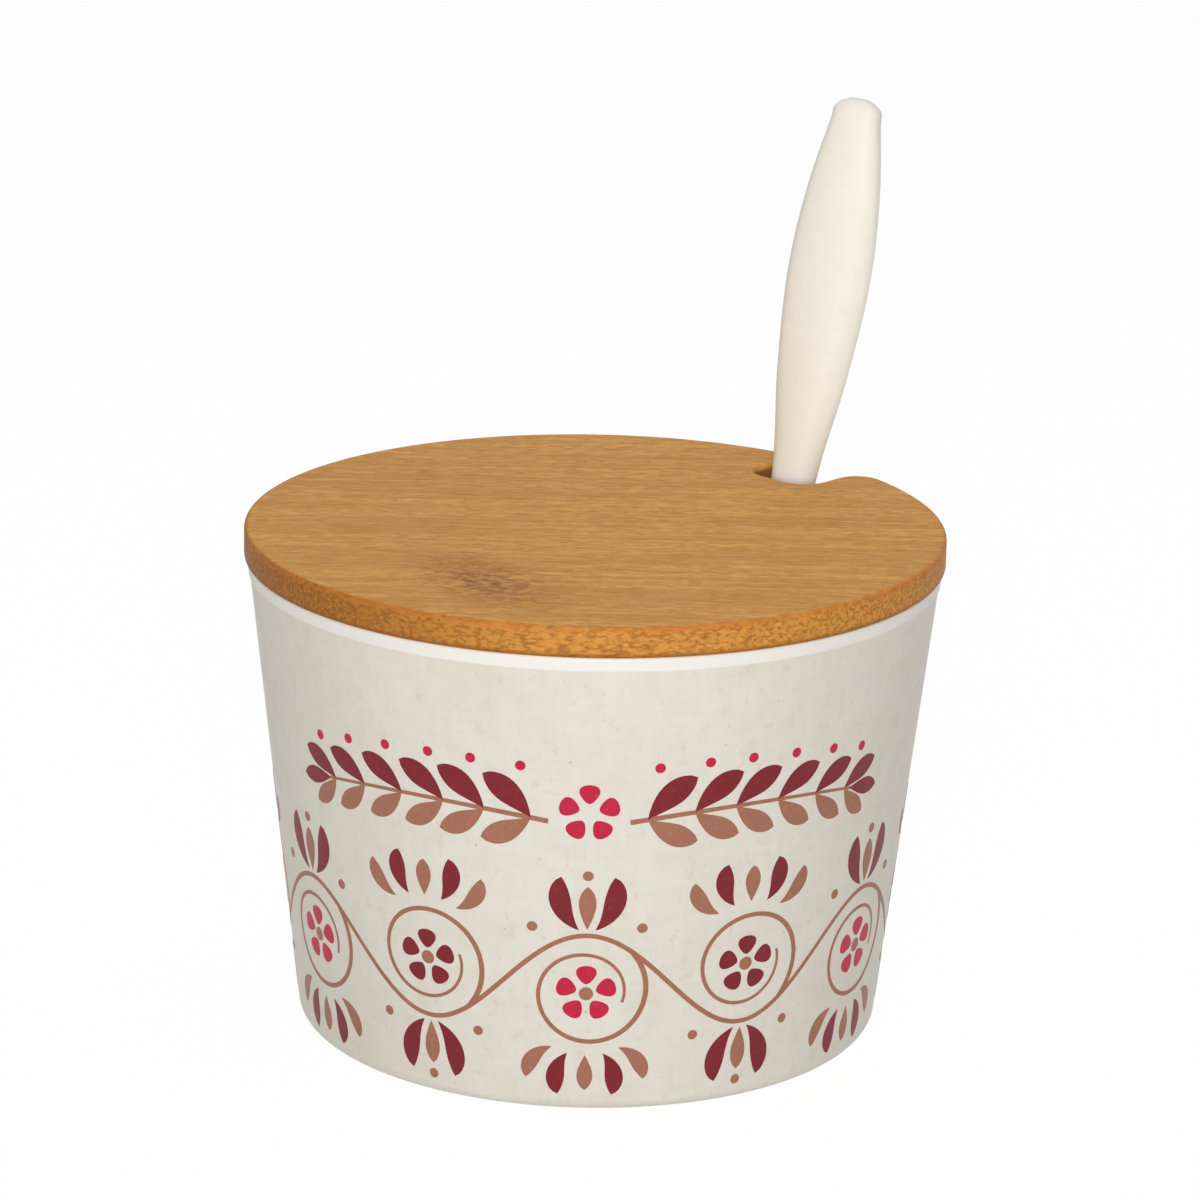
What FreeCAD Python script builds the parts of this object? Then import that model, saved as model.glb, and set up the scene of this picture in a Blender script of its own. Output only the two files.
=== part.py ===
import FreeCAD, Part
import math
import os
import Sketcher

# Covered honey dish: a tapered moulded bowl, a turned lift-off lid with a notch in its edge, and a spoon
# that stands in the bowl with its handle leaning out through the notch.
# Frame: +Z up, origin at the centre of the circle that the dish stands on, notch and spoon on the +X side.

# Driving sizes in millimetres, and in degrees for the turn of the spoon.
DIMENSIONS = {
    # Bowl: the wall is a straight taper from the table up to the rim.
    "bowl_height": 75.6,
    "rim_diameter": 108.7,
    "foot_diameter": 91.6,
    "bowl_wall": 2.8,
    "bowl_floor": 3.6,
    "heel_round": 2.8,
    "well_round": 6.0,
    # Raised band under the rim, with its edges rounded for the lips of the mould.
    "lip_height": 2.45,
    "lip_proud": 0.2,
    "lip_round": 0.6,
    # Ring that the bowl stands on, round a shallow recess.
    "ring_width": 4.2,
    "foot_recess": 0.8,
    # Lid: a board that overhangs the rim, with a locating step that drops into the bowl.
    "lid_overhang": 0.65,
    "lid_thickness": 4.87,
    "lid_round": 0.6,
    "step_depth": 4.0,
    "step_clearance": 0.5,
    "step_round": 0.8,
    "step_mouth_round": 2.0,
    # Notch: open at the rim, cleared for the widest part of the spoon's handle.
    "notch_clearance": 0.4,
    "notch_corner_round": 4.2,
    "notch_mouth_round": 4.2,
    # Spoon's stand: from the bowl's inner rim, and from the foot's edge, in to the handle's axis.
    "stand_inset_top": 5.35,
    "stand_inset_foot": 16.2,
    "stand_gap": 0.35,
    "spoon_turn": 62.0,
    # Handle: a flat spindle. Heights are measured along it from the lid's top.
    "handle_length": 61.4,
    "handle_width": 13.9,
    "handle_thickness": 5.0,
    "belly_height": 33.0,
    "stem_width": 7.6,
    "stem_thickness": 4.6,
    "lower_swell_width": 11.8,
    "upper_swell_width": 11.9,
    "swell_thickness": 4.8,
    "tip_width": 6.8,
    "tip_thickness": 4.8,
    "tip_round": 1.6,
    # Neck: the slimmest place, above the scoop's upper end.
    "neck_width": 6.2,
    "neck_thickness": 4.4,
    "neck_rise": 12.0,
    # Scoop: half an ellipsoid behind a flat rim, hollowed to an even wall.
    "scoop_length": 39.0,
    "scoop_width": 25.0,
    "scoop_depth": 9.0,
    "scoop_wall": 1.9,
    "scoop_rim_round": 0.6,
    "scoop_rim_proud": 0.3,
    # Collar: the section at the scoop's upper end, where its shoulders run into the neck.
    "collar_width": 9.6,
    "collar_thickness": 5.2,
}

# Places along the scoop's half length, from its middle, where its section shapes the spoon.
SCOOP_SHARES = [-0.98, -0.85, -0.5, 0.0, 0.45]

# Places and fits that follow from the driving sizes, in the order in which they build on each other.
LAYOUT = {
    # Bowl wall: run per unit of height, and thickness measured level.
    "wall_run": "(dims.rim_diameter - dims.foot_diameter) / 2 / dims.bowl_height",
    "wall_level": "dims.bowl_wall * sqrt(1 + layout.wall_run ^ 2)",
    "foot_radius": "dims.foot_diameter / 2",
    "rim_radius": "dims.rim_diameter / 2",
    "rim_inner": "layout.rim_radius - layout.wall_level",
    "lip_base": "dims.bowl_height - dims.lip_height",
    "lip_base_radius": "layout.foot_radius + layout.lip_base * layout.wall_run",
    "well_radius": "layout.foot_radius + dims.bowl_floor * layout.wall_run - layout.wall_level",
    "ring_inner": "layout.foot_radius - dims.heel_round - dims.ring_width",
    # Lid on the rim, and its step inside the taper of the wall.
    "lid_top": "dims.bowl_height + dims.lid_thickness",
    "lid_radius": "layout.rim_radius + dims.lid_overhang",
    "step_radius": "layout.rim_inner - dims.step_depth * layout.wall_run - dims.step_clearance",
    # Line that the spoon's axis follows, from the well's floor to the lid's top.
    "axis_top": "layout.rim_inner - dims.stand_inset_top",
    "axis_foot": "layout.foot_radius - dims.stand_inset_foot",
    "axis_run": "(layout.axis_top - layout.axis_foot) / (layout.lid_top - dims.bowl_floor)",
    "lean": "atan(layout.axis_run)",
    # Middle of the scoop, level with the front of the neck, and its rim a little further forward.
    "scoop_set": "dims.neck_thickness / 2",
    "scoop_rim": "layout.scoop_set + dims.scoop_rim_proud",
    # Height of the leaning scoop's middle, which puts its lowest point just off the floor.
    "reach_across": "dims.scoop_width / 2 * sin(layout.lean) * cos(dims.spoon_turn)",
    "reach_back": "dims.scoop_depth * sin(layout.lean) * sin(dims.spoon_turn)",
    "scoop_end": "dims.scoop_length / 2",
    "reach_down": "layout.scoop_end * cos(layout.lean)",
    "scoop_reach": "sqrt(layout.reach_across ^ 2 + layout.reach_back ^ 2 + layout.reach_down ^ 2)",
    "scoop_lift": "layout.scoop_set * sin(layout.lean) * sin(dims.spoon_turn)",
    "scoop_height": "dims.bowl_floor + dims.stand_gap + layout.scoop_reach - layout.scoop_lift",
    "scoop_place": "layout.axis_foot + (layout.scoop_height - dims.bowl_floor) * layout.axis_run",
    # Stations along the spoon, from the middle of its scoop.
    "lid_station": "(layout.lid_top - layout.scoop_height) / cos(layout.lean)",
    "neck_station": "layout.scoop_end + dims.neck_rise",
    "belly_station": "layout.lid_station + dims.belly_height",
    "tip_station": "layout.lid_station + dims.handle_length",
    # Notch: half width that passes the turned belly of the handle, and inner end that clears the stem.
    "belly_across": "dims.handle_width / 2 * sin(dims.spoon_turn)",
    "belly_through": "dims.handle_thickness / 2 * cos(dims.spoon_turn)",
    "notch_half": "sqrt(layout.belly_across ^ 2 + layout.belly_through ^ 2) + dims.notch_clearance",
    "stem_across": "dims.stem_width / 2 * cos(dims.spoon_turn)",
    "stem_through": "dims.stem_thickness / 2 * sin(dims.spoon_turn)",
    "stem_half": "sqrt(layout.stem_across ^ 2 + layout.stem_through ^ 2) / cos(layout.lean)",
    "stem_low": "layout.axis_top - (dims.lid_thickness + dims.step_depth) * layout.axis_run",
    "notch_end": "layout.stem_low - layout.stem_half - dims.notch_clearance",
    # The step keeps back from the notch by the round on the board's own edges.
    "step_notch_half": "layout.notch_half + dims.lid_round",
    "step_notch_end": "layout.notch_end - dims.lid_round",
    "step_corner_round": "dims.notch_corner_round + dims.lid_round",
}

MATCH = 1e-3


def add_dimensions(doc):
    """Sheet of driving sizes, one named cell each."""
    sheet = doc.addObject("Spreadsheet::Sheet", "dims")
    for row, (alias, size) in enumerate(DIMENSIONS.items(), start=1):
        sheet.set(f"A{row}", alias)
        sheet.set(f"B{row}", str(size))
        sheet.setAlias(f"B{row}", alias)
    doc.recompute()


def add_layout(doc):
    """Named places and fits, each bound to the sheet or to an earlier one."""
    layout = doc.addObject("App::VarSet", "layout")
    for name, formula in LAYOUT.items():
        layout.addProperty("App::PropertyFloat", name, "Layout")
        layout.setExpression(name, formula)
        doc.recompute()
    return layout


def add_body(doc, label):
    body = doc.addObject("PartDesign::Body", label)
    body.Label = label
    return body


def add_sketch(body, name, role, offset=None):
    """Sketch on one of the body's own origin planes, lifted off it by an expression where one is given."""
    sketch = body.newObject("Sketcher::SketchObject", name)
    plane = next(feature for feature in body.Origin.OriginFeatures if feature.Role == role)
    sketch.AttachmentSupport = [(plane, "")]
    sketch.MapMode = "FlatFace"
    if offset:
        sketch.setExpression("AttachmentOffset.Base.z", offset)
    return sketch


def size_of(sketch, formula):
    return float(sketch.evalExpression(formula))


def bind(sketch, kind, references, formula):
    """Sizing constraint whose value follows an expression."""
    index = sketch.addConstraint(Sketcher.Constraint(kind, *references, size_of(sketch, formula)))
    sketch.setExpression(f"Constraints[{index}]", formula)


def draw_outline(sketch, corners):
    """Closed outline of straight sides. Each corner is a pair of expressions, and None lies on an axis."""
    points = []
    for across, along in corners:
        x = size_of(sketch, across) if across else 0.0
        y = size_of(sketch, along) if along else 0.0
        points.append(FreeCAD.Vector(x, y, 0))
    sides = len(points)
    for i in range(sides):
        sketch.addGeometry(Part.LineSegment(points[i], points[(i + 1) % sides]))
    for i in range(sides):
        sketch.addConstraint(Sketcher.Constraint("Coincident", i, 2, (i + 1) % sides, 1))
    for i, (across, along) in enumerate(corners):
        if across:
            bind(sketch, "DistanceX", (-1, 1, i, 1), across)
        else:
            sketch.addConstraint(Sketcher.Constraint("PointOnObject", i, 1, -2))
        if along:
            bind(sketch, "DistanceY", (-1, 1, i, 1), along)
        else:
            sketch.addConstraint(Sketcher.Constraint("PointOnObject", i, 1, -1))


def draw_notched_disc(sketch, radius, notch_end, notch_half, corner_round, mouth_round):
    """Disc about the sketch's origin with a notch in from +X: round inner corners and rounded mouth."""
    rim = size_of(sketch, radius)
    end = size_of(sketch, notch_end)
    half = size_of(sketch, notch_half)
    corner = size_of(sketch, corner_round)
    mouth = size_of(sketch, mouth_round)
    mouth_x = ((rim - mouth) ** 2 - (half + mouth) ** 2) ** 0.5
    opening = math.atan2(half + mouth, mouth_x)

    def arc(x, y, size, start, finish):
        circle = Part.Circle(FreeCAD.Vector(x, y, 0), FreeCAD.Vector(0, 0, 1), size)
        return sketch.addGeometry(Part.ArcOfCircle(circle, start, finish))

    def line(x0, y0, x1, y1):
        return sketch.addGeometry(Part.LineSegment(FreeCAD.Vector(x0, y0, 0), FreeCAD.Vector(x1, y1, 0)))

    quarter = math.pi / 2
    rim_arc = arc(0, 0, rim, opening, -opening)
    low_mouth = arc(mouth_x, -half - mouth, mouth, -opening, quarter)
    low_side = line(mouth_x, -half, end + corner, -half)
    low_corner = arc(end + corner, corner - half, corner, 2 * quarter, 3 * quarter)
    inner_end = line(end, corner - half, end, half - corner)
    high_corner = arc(end + corner, half - corner, corner, quarter, 2 * quarter)
    high_side = line(end + corner, half, mouth_x, half)
    high_mouth = arc(mouth_x, half + mouth, mouth, -quarter, opening)
    # Each joint is the end of one stretch, as that stretch's own first or second point, and of the next.
    joints = [
        (rim_arc, 2, low_mouth, 1),
        (low_mouth, 2, low_side, 1),
        (low_side, 2, low_corner, 2),
        (low_corner, 1, inner_end, 1),
        (inner_end, 2, high_corner, 2),
        (high_corner, 1, high_side, 1),
        (high_side, 2, high_mouth, 1),
        (high_mouth, 2, rim_arc, 1),
    ]
    for joint in joints:
        sketch.addConstraint(Sketcher.Constraint("Tangent", *joint))
    sketch.addConstraint(Sketcher.Constraint("Coincident", rim_arc, 3, -1, 1))
    sketch.addConstraint(Sketcher.Constraint("Horizontal", low_side))
    sketch.addConstraint(Sketcher.Constraint("Horizontal", high_side))
    sketch.addConstraint(Sketcher.Constraint("Vertical", inner_end))
    sketch.addConstraint(Sketcher.Constraint("Equal", low_corner, high_corner))
    sketch.addConstraint(Sketcher.Constraint("Equal", low_mouth, high_mouth))
    bind(sketch, "Radius", (rim_arc,), radius)
    bind(sketch, "Radius", (low_corner,), corner_round)
    bind(sketch, "Radius", (low_mouth,), mouth_round)
    bind(sketch, "DistanceX", (-1, 1, inner_end, 1), notch_end)
    bind(sketch, "DistanceY", (-1, 1, high_side, 1), notch_half)
    bind(sketch, "DistanceY", (low_side, 1, -1, 1), notch_half)


def draw_oval(sketch, width, thickness):
    """Ellipse about the sketch's origin, its width along the sketch's first axis."""
    half_width = size_of(sketch, width) / 2
    half_thickness = size_of(sketch, thickness) / 2
    sketch.addGeometry(Part.Ellipse(FreeCAD.Vector(0, 0, 0), half_width, half_thickness))
    sketch.exposeInternalGeometry(0)
    long_axis = 1
    short_axis = 2
    sketch.addConstraint(Sketcher.Constraint("Coincident", 0, 3, -1, 1))
    sketch.addConstraint(Sketcher.Constraint("Horizontal", long_axis))
    bind(sketch, "Distance", (long_axis,), width)
    bind(sketch, "Distance", (short_axis,), thickness)


def add_pad(body, name, sketch, length, reverse=False):
    pad = body.newObject("PartDesign::Pad", name)
    pad.Profile = sketch
    pad.setExpression("Length", length)
    pad.Reversed = reverse
    return pad


def add_fillet(body, name, base, edges, radius):
    """Round on the edges of base that a test picks out."""
    body.Document.recompute()
    names = [f"Edge{i}" for i, edge in enumerate(base.Shape.Edges, start=1) if edges(edge)]
    if not names:
        raise RuntimeError(f"{body.Label}: no edge for {name}")
    fillet = body.newObject("PartDesign::Fillet", name)
    fillet.Base = (base, names)
    fillet.setExpression("Radius", radius)
    body.Document.recompute()
    return fillet


def near(value, target):
    return abs(value - target) < MATCH


def ring_at(radius, height):
    """Test for a level circle about the body's own Z axis."""
    def test(edge):
        curve = edge.Curve
        if not isinstance(curve, Part.Circle):
            return False
        return near(curve.Radius, radius) and near(curve.Center.z, height) and near(edge.BoundBox.ZLength, 0)
    return test


def level_at(height):
    """Test for an edge that lies flat at one height."""
    def test(edge):
        return near(edge.BoundBox.ZMin, height) and near(edge.BoundBox.ZMax, height)
    return test


def forward_at(place):
    """Test for an edge that lies in one plane square to the body's own Y axis."""
    def test(edge):
        return near(edge.BoundBox.YMin, place) and near(edge.BoundBox.YMax, place)
    return test


def make_bowl(doc, layout):
    """Tapered cup turned about Z, with its heel, well, lip band and standing ring."""
    dims = doc.dims
    bowl = add_body(doc, "bowl")
    profile = add_sketch(bowl, "BowlProfile", "XZ_Plane")
    draw_outline(profile, [
        ("layout.ring_inner", None),
        ("layout.foot_radius", None),
        ("layout.lip_base_radius", "layout.lip_base"),
        ("layout.lip_base_radius + dims.lip_proud", "layout.lip_base"),
        ("layout.rim_radius + dims.lip_proud", "dims.bowl_height"),
        ("layout.rim_inner", "dims.bowl_height"),
        ("layout.well_radius", "dims.bowl_floor"),
        (None, "dims.bowl_floor"),
        (None, "dims.foot_recess"),
        ("layout.ring_inner - dims.foot_recess", "dims.foot_recess"),
    ])
    turned = bowl.newObject("PartDesign::Revolution", "BowlTurned")
    turned.Profile = profile
    turned.ReferenceAxis = (profile, ["V_Axis"])
    turned.Angle = 360
    heel = add_fillet(bowl, "Heel", turned, ring_at(layout.foot_radius, 0), "dims.heel_round")
    well = add_fillet(bowl, "Well", heel, ring_at(layout.well_radius, dims.bowl_floor), "dims.well_round")
    outer = ring_at(layout.rim_radius + dims.lip_proud, dims.bowl_height)
    inner = ring_at(layout.rim_inner, dims.bowl_height)
    add_fillet(bowl, "Lip", well, lambda edge: outer(edge) or inner(edge), "dims.lip_round")
    return bowl


def make_lid(doc, layout):
    """Round board with a step underneath, and a round-cornered notch through both that is open at the rim."""
    dims = doc.dims
    lid = add_body(doc, "lid")
    lid.setExpression("Placement.Base.z", "dims.bowl_height")
    board_outline = add_sketch(lid, "BoardOutline", "XY_Plane")
    draw_notched_disc(board_outline, "layout.lid_radius", "layout.notch_end", "layout.notch_half",
                      "dims.notch_corner_round", "dims.notch_mouth_round")
    board = add_pad(lid, "Board", board_outline, "dims.lid_thickness")
    top = level_at(dims.lid_thickness)
    under = level_at(0)
    add_fillet(lid, "BoardEdges", board, lambda edge: top(edge) or under(edge), "dims.lid_round")
    step_outline = add_sketch(lid, "StepOutline", "XY_Plane")
    draw_notched_disc(step_outline, "layout.step_radius", "layout.step_notch_end", "layout.step_notch_half",
                      "layout.step_corner_round", "dims.step_mouth_round")
    step = add_pad(lid, "Step", step_outline, "dims.step_depth", reverse=True)
    add_fillet(lid, "StepEdges", step, level_at(-dims.step_depth), "dims.step_round")
    return lid


def spoon_sections(spoon):
    """Outlines that the spoon's skin runs through, from the handle's tip down to the scoop's lower tip."""
    handle = [
        ("Tip", "layout.tip_station", "dims.tip_width", "dims.tip_thickness", None),
        ("UpperSwell", "(layout.belly_station + layout.tip_station) / 2",
         "dims.upper_swell_width", "dims.swell_thickness", None),
        ("Belly", "layout.belly_station", "dims.handle_width", "dims.handle_thickness", None),
        ("LowerSwell", "(layout.lid_station + layout.belly_station) / 2",
         "dims.lower_swell_width", "dims.swell_thickness", None),
        ("Stem", "layout.lid_station", "dims.stem_width", "dims.stem_thickness", None),
        ("Neck", "layout.neck_station", "dims.neck_width", "dims.neck_thickness", None),
        ("Collar", "layout.scoop_end", "dims.collar_width", "dims.collar_thickness", "-layout.scoop_set / 2"),
    ]
    scoop = []
    for share in reversed(SCOOP_SHARES):
        shrink = f"sqrt(1 - ({share}) ^ 2)"
        scoop.append(("Scoop", f"({share}) * layout.scoop_end", f"dims.scoop_width * {shrink}",
                      f"2 * dims.scoop_depth * {shrink}", "-layout.scoop_set"))
    sections = []
    for name, station, width, thickness, forward in handle + scoop:
        section = add_sketch(spoon, name + "Section", "XY_Plane", offset=station)
        if forward:
            section.setExpression("AttachmentOffset.Base.y", forward)
        draw_oval(section, width, thickness)
        sections.append(section)
    end = add_sketch(spoon, "ScoopTip", "XY_Plane", offset="-layout.scoop_end")
    end.setExpression("AttachmentOffset.Base.y", "-layout.scoop_set")
    end.addGeometry(Part.Point(FreeCAD.Vector(0, 0, 0)))
    end.addConstraint(Sketcher.Constraint("Coincident", 0, 1, -1, 1))
    spoon.Document.recompute()
    return sections, end


def make_spoon(doc, layout):
    """Flat spindle handle that runs down through a neck into a hollowed scoop."""
    spoon = add_body(doc, "spoon")
    lean = "rotation(vector(0; 1; 0); layout.lean)"
    turn = "rotation(vector(0; 0; 1); -dims.spoon_turn)"
    stand = "vector(layout.scoop_place; 0; layout.scoop_height)"
    spoon.setExpression("Placement", f"placement({stand}; {lean} * {turn})")
    sections, end = spoon_sections(spoon)
    skin = spoon.newObject("PartDesign::AdditiveLoft", "Skin")
    skin.Profile = sections[0]
    skin.Sections = sections[1:] + [(end, ["Vertex1"])]
    add_fillet(spoon, "TipRound", skin, level_at(layout.tip_station), "dims.tip_round")
    front = add_sketch(spoon, "ScoopFront", "XZ_Plane", offset="layout.scoop_rim")
    draw_outline(front, [
        ("-dims.scoop_length", "-dims.scoop_length"),
        ("dims.scoop_length", "-dims.scoop_length"),
        ("dims.scoop_length", "layout.neck_station"),
        ("-dims.scoop_length", "layout.neck_station"),
    ])
    face = spoon.newObject("PartDesign::Pocket", "ScoopFace")
    face.Profile = front
    face.Type = "ThroughAll"
    face.Reversed = True
    hollow = spoon.newObject("PartDesign::SubtractiveEllipsoid", "ScoopHollow")
    hollow.setExpression("Radius1", "layout.scoop_end - dims.scoop_wall")
    hollow.setExpression("Radius2", "dims.scoop_width / 2 - dims.scoop_wall")
    hollow.setExpression("Radius3", "dims.scoop_depth - dims.scoop_wall")
    hollow.setExpression("Placement.Base.y", "-layout.scoop_set")
    doc.recompute()
    if not skin.Shape.Volume > face.Shape.Volume > hollow.Shape.Volume:
        raise RuntimeError("spoon: the scoop is not opened and hollowed")
    add_fillet(spoon, "ScoopRim", hollow, forward_at(-layout.scoop_rim), "dims.scoop_rim_round")
    return spoon


def check(doc, pieces):
    """Stop on a failed object, or a piece that is not one valid solid."""
    for item in doc.Objects:
        if "Invalid" in item.State or "Error" in item.State:
            raise RuntimeError(f"{item.Label} failed: {item.State}")
    for piece in pieces:
        if piece.Shape.isNull() or not piece.Shape.isValid() or len(piece.Shape.Solids) != 1:
            raise RuntimeError(f"{piece.Label} is not one valid solid")


def main():
    doc = FreeCAD.newDocument("honey_dish")
    add_dimensions(doc)
    layout = add_layout(doc)
    pieces = [make_bowl(doc, layout), make_lid(doc, layout), make_spoon(doc, layout)]
    doc.recompute()
    check(doc, pieces)
    os.makedirs("parts", exist_ok=True)
    for piece in pieces:
        piece.Shape.exportStep(f"parts/{piece.Label}.step")
        print(piece.Label, round(piece.Shape.Volume), piece.Shape.BoundBox)


main()
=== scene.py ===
import math

import bmesh
import bpy
from bpy.props import FloatProperty, FloatVectorProperty, IntProperty, PointerProperty
from bpy.types import NodeSocket, Operator, Panel, PropertyGroup
from mathutils import Matrix, Vector


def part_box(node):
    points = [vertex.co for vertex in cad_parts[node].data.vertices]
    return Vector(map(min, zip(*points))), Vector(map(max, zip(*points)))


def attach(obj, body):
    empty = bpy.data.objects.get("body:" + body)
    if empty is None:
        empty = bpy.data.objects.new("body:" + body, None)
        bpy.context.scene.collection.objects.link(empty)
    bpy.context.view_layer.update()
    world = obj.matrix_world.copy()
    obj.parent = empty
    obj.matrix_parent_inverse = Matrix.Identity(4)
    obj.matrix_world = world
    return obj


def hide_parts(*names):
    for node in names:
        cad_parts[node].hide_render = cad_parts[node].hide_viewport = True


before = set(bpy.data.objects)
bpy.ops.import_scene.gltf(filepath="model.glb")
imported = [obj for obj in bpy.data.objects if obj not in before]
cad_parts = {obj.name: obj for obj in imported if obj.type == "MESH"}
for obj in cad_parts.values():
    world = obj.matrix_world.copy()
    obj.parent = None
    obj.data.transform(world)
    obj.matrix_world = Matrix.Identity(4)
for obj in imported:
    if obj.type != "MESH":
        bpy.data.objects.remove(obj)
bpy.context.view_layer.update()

bl_info = {
    "name": "Covered honey dish",
    "version": (1, 0, 0),
    "blender": (4, 5, 0),
    "location": "3D View > Sidebar > Honey dish",
    "description": "Bowl, lid, spoon and printed border of a covered honey dish, around its fixed frame",
    "category": "Object",
}

# Frame: metres, +Z up, origin on the table under the middle of the bowl, notch and spoon on the +X side.
BOWL_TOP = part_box("bowl")[1].z
LID_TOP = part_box("lid")[1].z
LID_RADIUS = -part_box("lid")[0].x
# Heading of the side that the picture is taken from, about +Z from +X.
FRONT = math.radians(-136.0)
# Points nearer than this are one, and edges sharper than this stay creased.
MERGE = 1e-6
CREASE = math.radians(35.0)


def linear(red, green, blue):
    """Colour as Blender keeps it, from 8-bit display values."""
    shares = [value / 255 for value in (red, green, blue)]
    return [s / 12.92 if s <= 0.04045 else ((s + 0.055) / 1.055) ** 2.4 for s in shares]


def length(name, default, description):
    return FloatProperty(name=name, description=description, default=default, min=0.0, unit="LENGTH",
                         precision=5)


def colour(name, default, description):
    return FloatVectorProperty(name=name, description=description, default=default, size=3, min=0.0,
                               max=1.0, subtype="COLOR")


def angle(name, degrees, description):
    return FloatProperty(name=name, description=description, default=math.radians(degrees), unit="ROTATION")


class BowlSettings(PropertyGroup):
    rim_radius: length("Rim radius", 0.05435, "Radius of the straight wall where it meets the rim's height")
    foot_radius: length("Foot radius", 0.0458, "Radius of the straight wall where it meets the table")
    wall: length("Wall", 0.0028, "Thickness of the wall")
    floor: length("Floor", 0.0036, "Height of the well's floor above the table")
    lip_height: length("Lip height", 0.00245, "Height of the plain band under the rim")
    lip_proud: length("Lip stands out", 0.0002, "How far the band under the rim stands out of the wall")
    lip_round: length("Lip round", 0.0006, "Round on the rim's edges")
    heel_round: length("Heel round", 0.0028, "Round between the wall and the table")
    well_round: length("Well round", 0.006, "Round between the wall and the floor inside")
    ring_width: length("Ring width", 0.0042, "Width of the ring that the bowl stands on")
    recess: length("Recess", 0.0008, "Depth of the recess inside the standing ring")
    steps: IntProperty(name="Steps", description="Steps round the turned shell", default=192, min=24)
    body: colour("Body", linear(230, 227, 217), "Colour of the moulded fibre")
    straw: colour("Straw fleck", linear(208, 190, 158), "Colour of the straw flecks in the fibre")
    husk: colour("Husk fleck", linear(150, 138, 116), "Colour of the few dark husk flecks")
    # Painted highlight: the band's whiter colour stands in for the light that it catches.
    band_highlight: colour("Lip", linear(243, 243, 239), "Colour of the plain band under the rim")


class LidSettings(PropertyGroup):
    thickness: length("Thickness", 0.00487, "Thickness of the board")
    edge_round: length("Edge round", 0.0006, "Round on the board's edges")
    step_radius: length("Step radius", 0.05058, "Radius of the locating step underneath")
    step_depth: length("Step depth", 0.004, "Depth of the locating step")
    step_round: length("Step round", 0.0008, "Round on the step's lower edge")
    notch_end: length("Notch end", 0.0411, "Distance from the middle to the notch's inner end")
    notch_half: length("Notch half width", 0.00665, "Half the width of the notch")
    notch_corner: length("Notch corner", 0.0042, "Round in the notch's inner corners")
    notch_mouth: length("Notch mouth", 0.0042, "Round at the notch's mouth")
    step_mouth: length("Step mouth", 0.002, "Round at the mouth of the step's own notch")
    grain: angle("Grain", -46.0, "Heading of the grain, about +Z from +X")
    pale: colour("Pale wood", linear(243, 181, 96), "Colour of the pale wood between the fibres")
    brown: colour("Brown wood", linear(203, 141, 64), "Colour of the brown fibres")
    edge: colour("Edge", linear(220, 154, 72), "Colour of the sealed edge")
    # Painted highlight: the warmer, broken line along the board's upper edge.
    wear_and_highlight: colour("Worn edge", linear(204, 124, 52), "Colour of the line along the upper edge")
    # The node's colour also paints shade on the notch's walls and along the board's lower edge.
    node: colour("Node", linear(134, 76, 30), "Colour of the bamboo's node, end grain and scorched wood")


class SpoonSettings(PropertyGroup):
    turn: angle("Turn", 62.0, "Turn of the spoon's face about its own axis")
    lean: angle("Lean", 12.173, "Lean of the spoon towards the notch")
    place: length("Place", 0.033715, "Distance of the scoop's middle from the bowl's axis")
    height: length("Height", 0.0227, "Height of the scoop's middle above the table")
    scoop_length: length("Scoop length", 0.039, "Length of the scoop")
    scoop_width: length("Scoop width", 0.025, "Width of the scoop")
    scoop_depth: length("Scoop depth", 0.009, "Depth of the scoop behind its rim")
    scoop_wall: length("Scoop wall", 0.0019, "Thickness of the scoop's wall")
    scoop_set: length("Scoop set", 0.0022, "How far the scoop's middle is set forward of the handle's axis")
    rim_proud: length("Rim stands out", 0.0003, "How far the scoop's rim stands forward of its middle")
    collar_width: length("Collar width", 0.0096, "Width where the scoop's shoulders run into the neck")
    collar_thickness: length("Collar thickness", 0.0052, "Thickness where the shoulders run into the neck")
    neck_rise: length("Neck rise", 0.012, "Height of the slimmest place above the scoop")
    neck_width: length("Neck width", 0.0062, "Width of the slimmest place")
    neck_thickness: length("Neck thickness", 0.0044, "Thickness of the slimmest place")
    stem_width: length("Stem width", 0.0076, "Width of the handle at the lid's top")
    stem_thickness: length("Stem thickness", 0.0046, "Thickness of the handle at the lid's top")
    belly_height: length("Belly height", 0.033, "Height of the widest place above the lid")
    handle_width: length("Handle width", 0.0139, "Width of the handle at its widest place")
    handle_thickness: length("Handle thickness", 0.005, "Thickness of the handle at its widest place")
    lower_swell: length("Lower swell", 0.0118, "Width half way from the lid's top to the widest place")
    upper_swell: length("Upper swell", 0.0119, "Width half way from the widest place to the tip")
    swell_thickness: length("Swell thickness", 0.0048, "Thickness at both of those places")
    handle_length: length("Handle length", 0.0614, "Length of the handle above the lid's top")
    tip_width: length("Tip width", 0.0068, "Width of the handle's tip")
    tip_thickness: length("Tip thickness", 0.0048, "Thickness of the handle's tip")
    tip_round: length("Tip round", 0.0022, "Round on the handle's tip")
    ring_gap: length("Ring gap", 0.0018, "Distance between the rings of the spoon's mesh")
    body: colour("Body", linear(250, 248, 239), "Colour of the moulded fibre")
    straw: colour("Straw fleck", linear(234, 222, 198), "Colour of the straw flecks in the fibre")
    husk: colour("Husk fleck", linear(206, 192, 166), "Colour of the few dark husk flecks")


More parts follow.
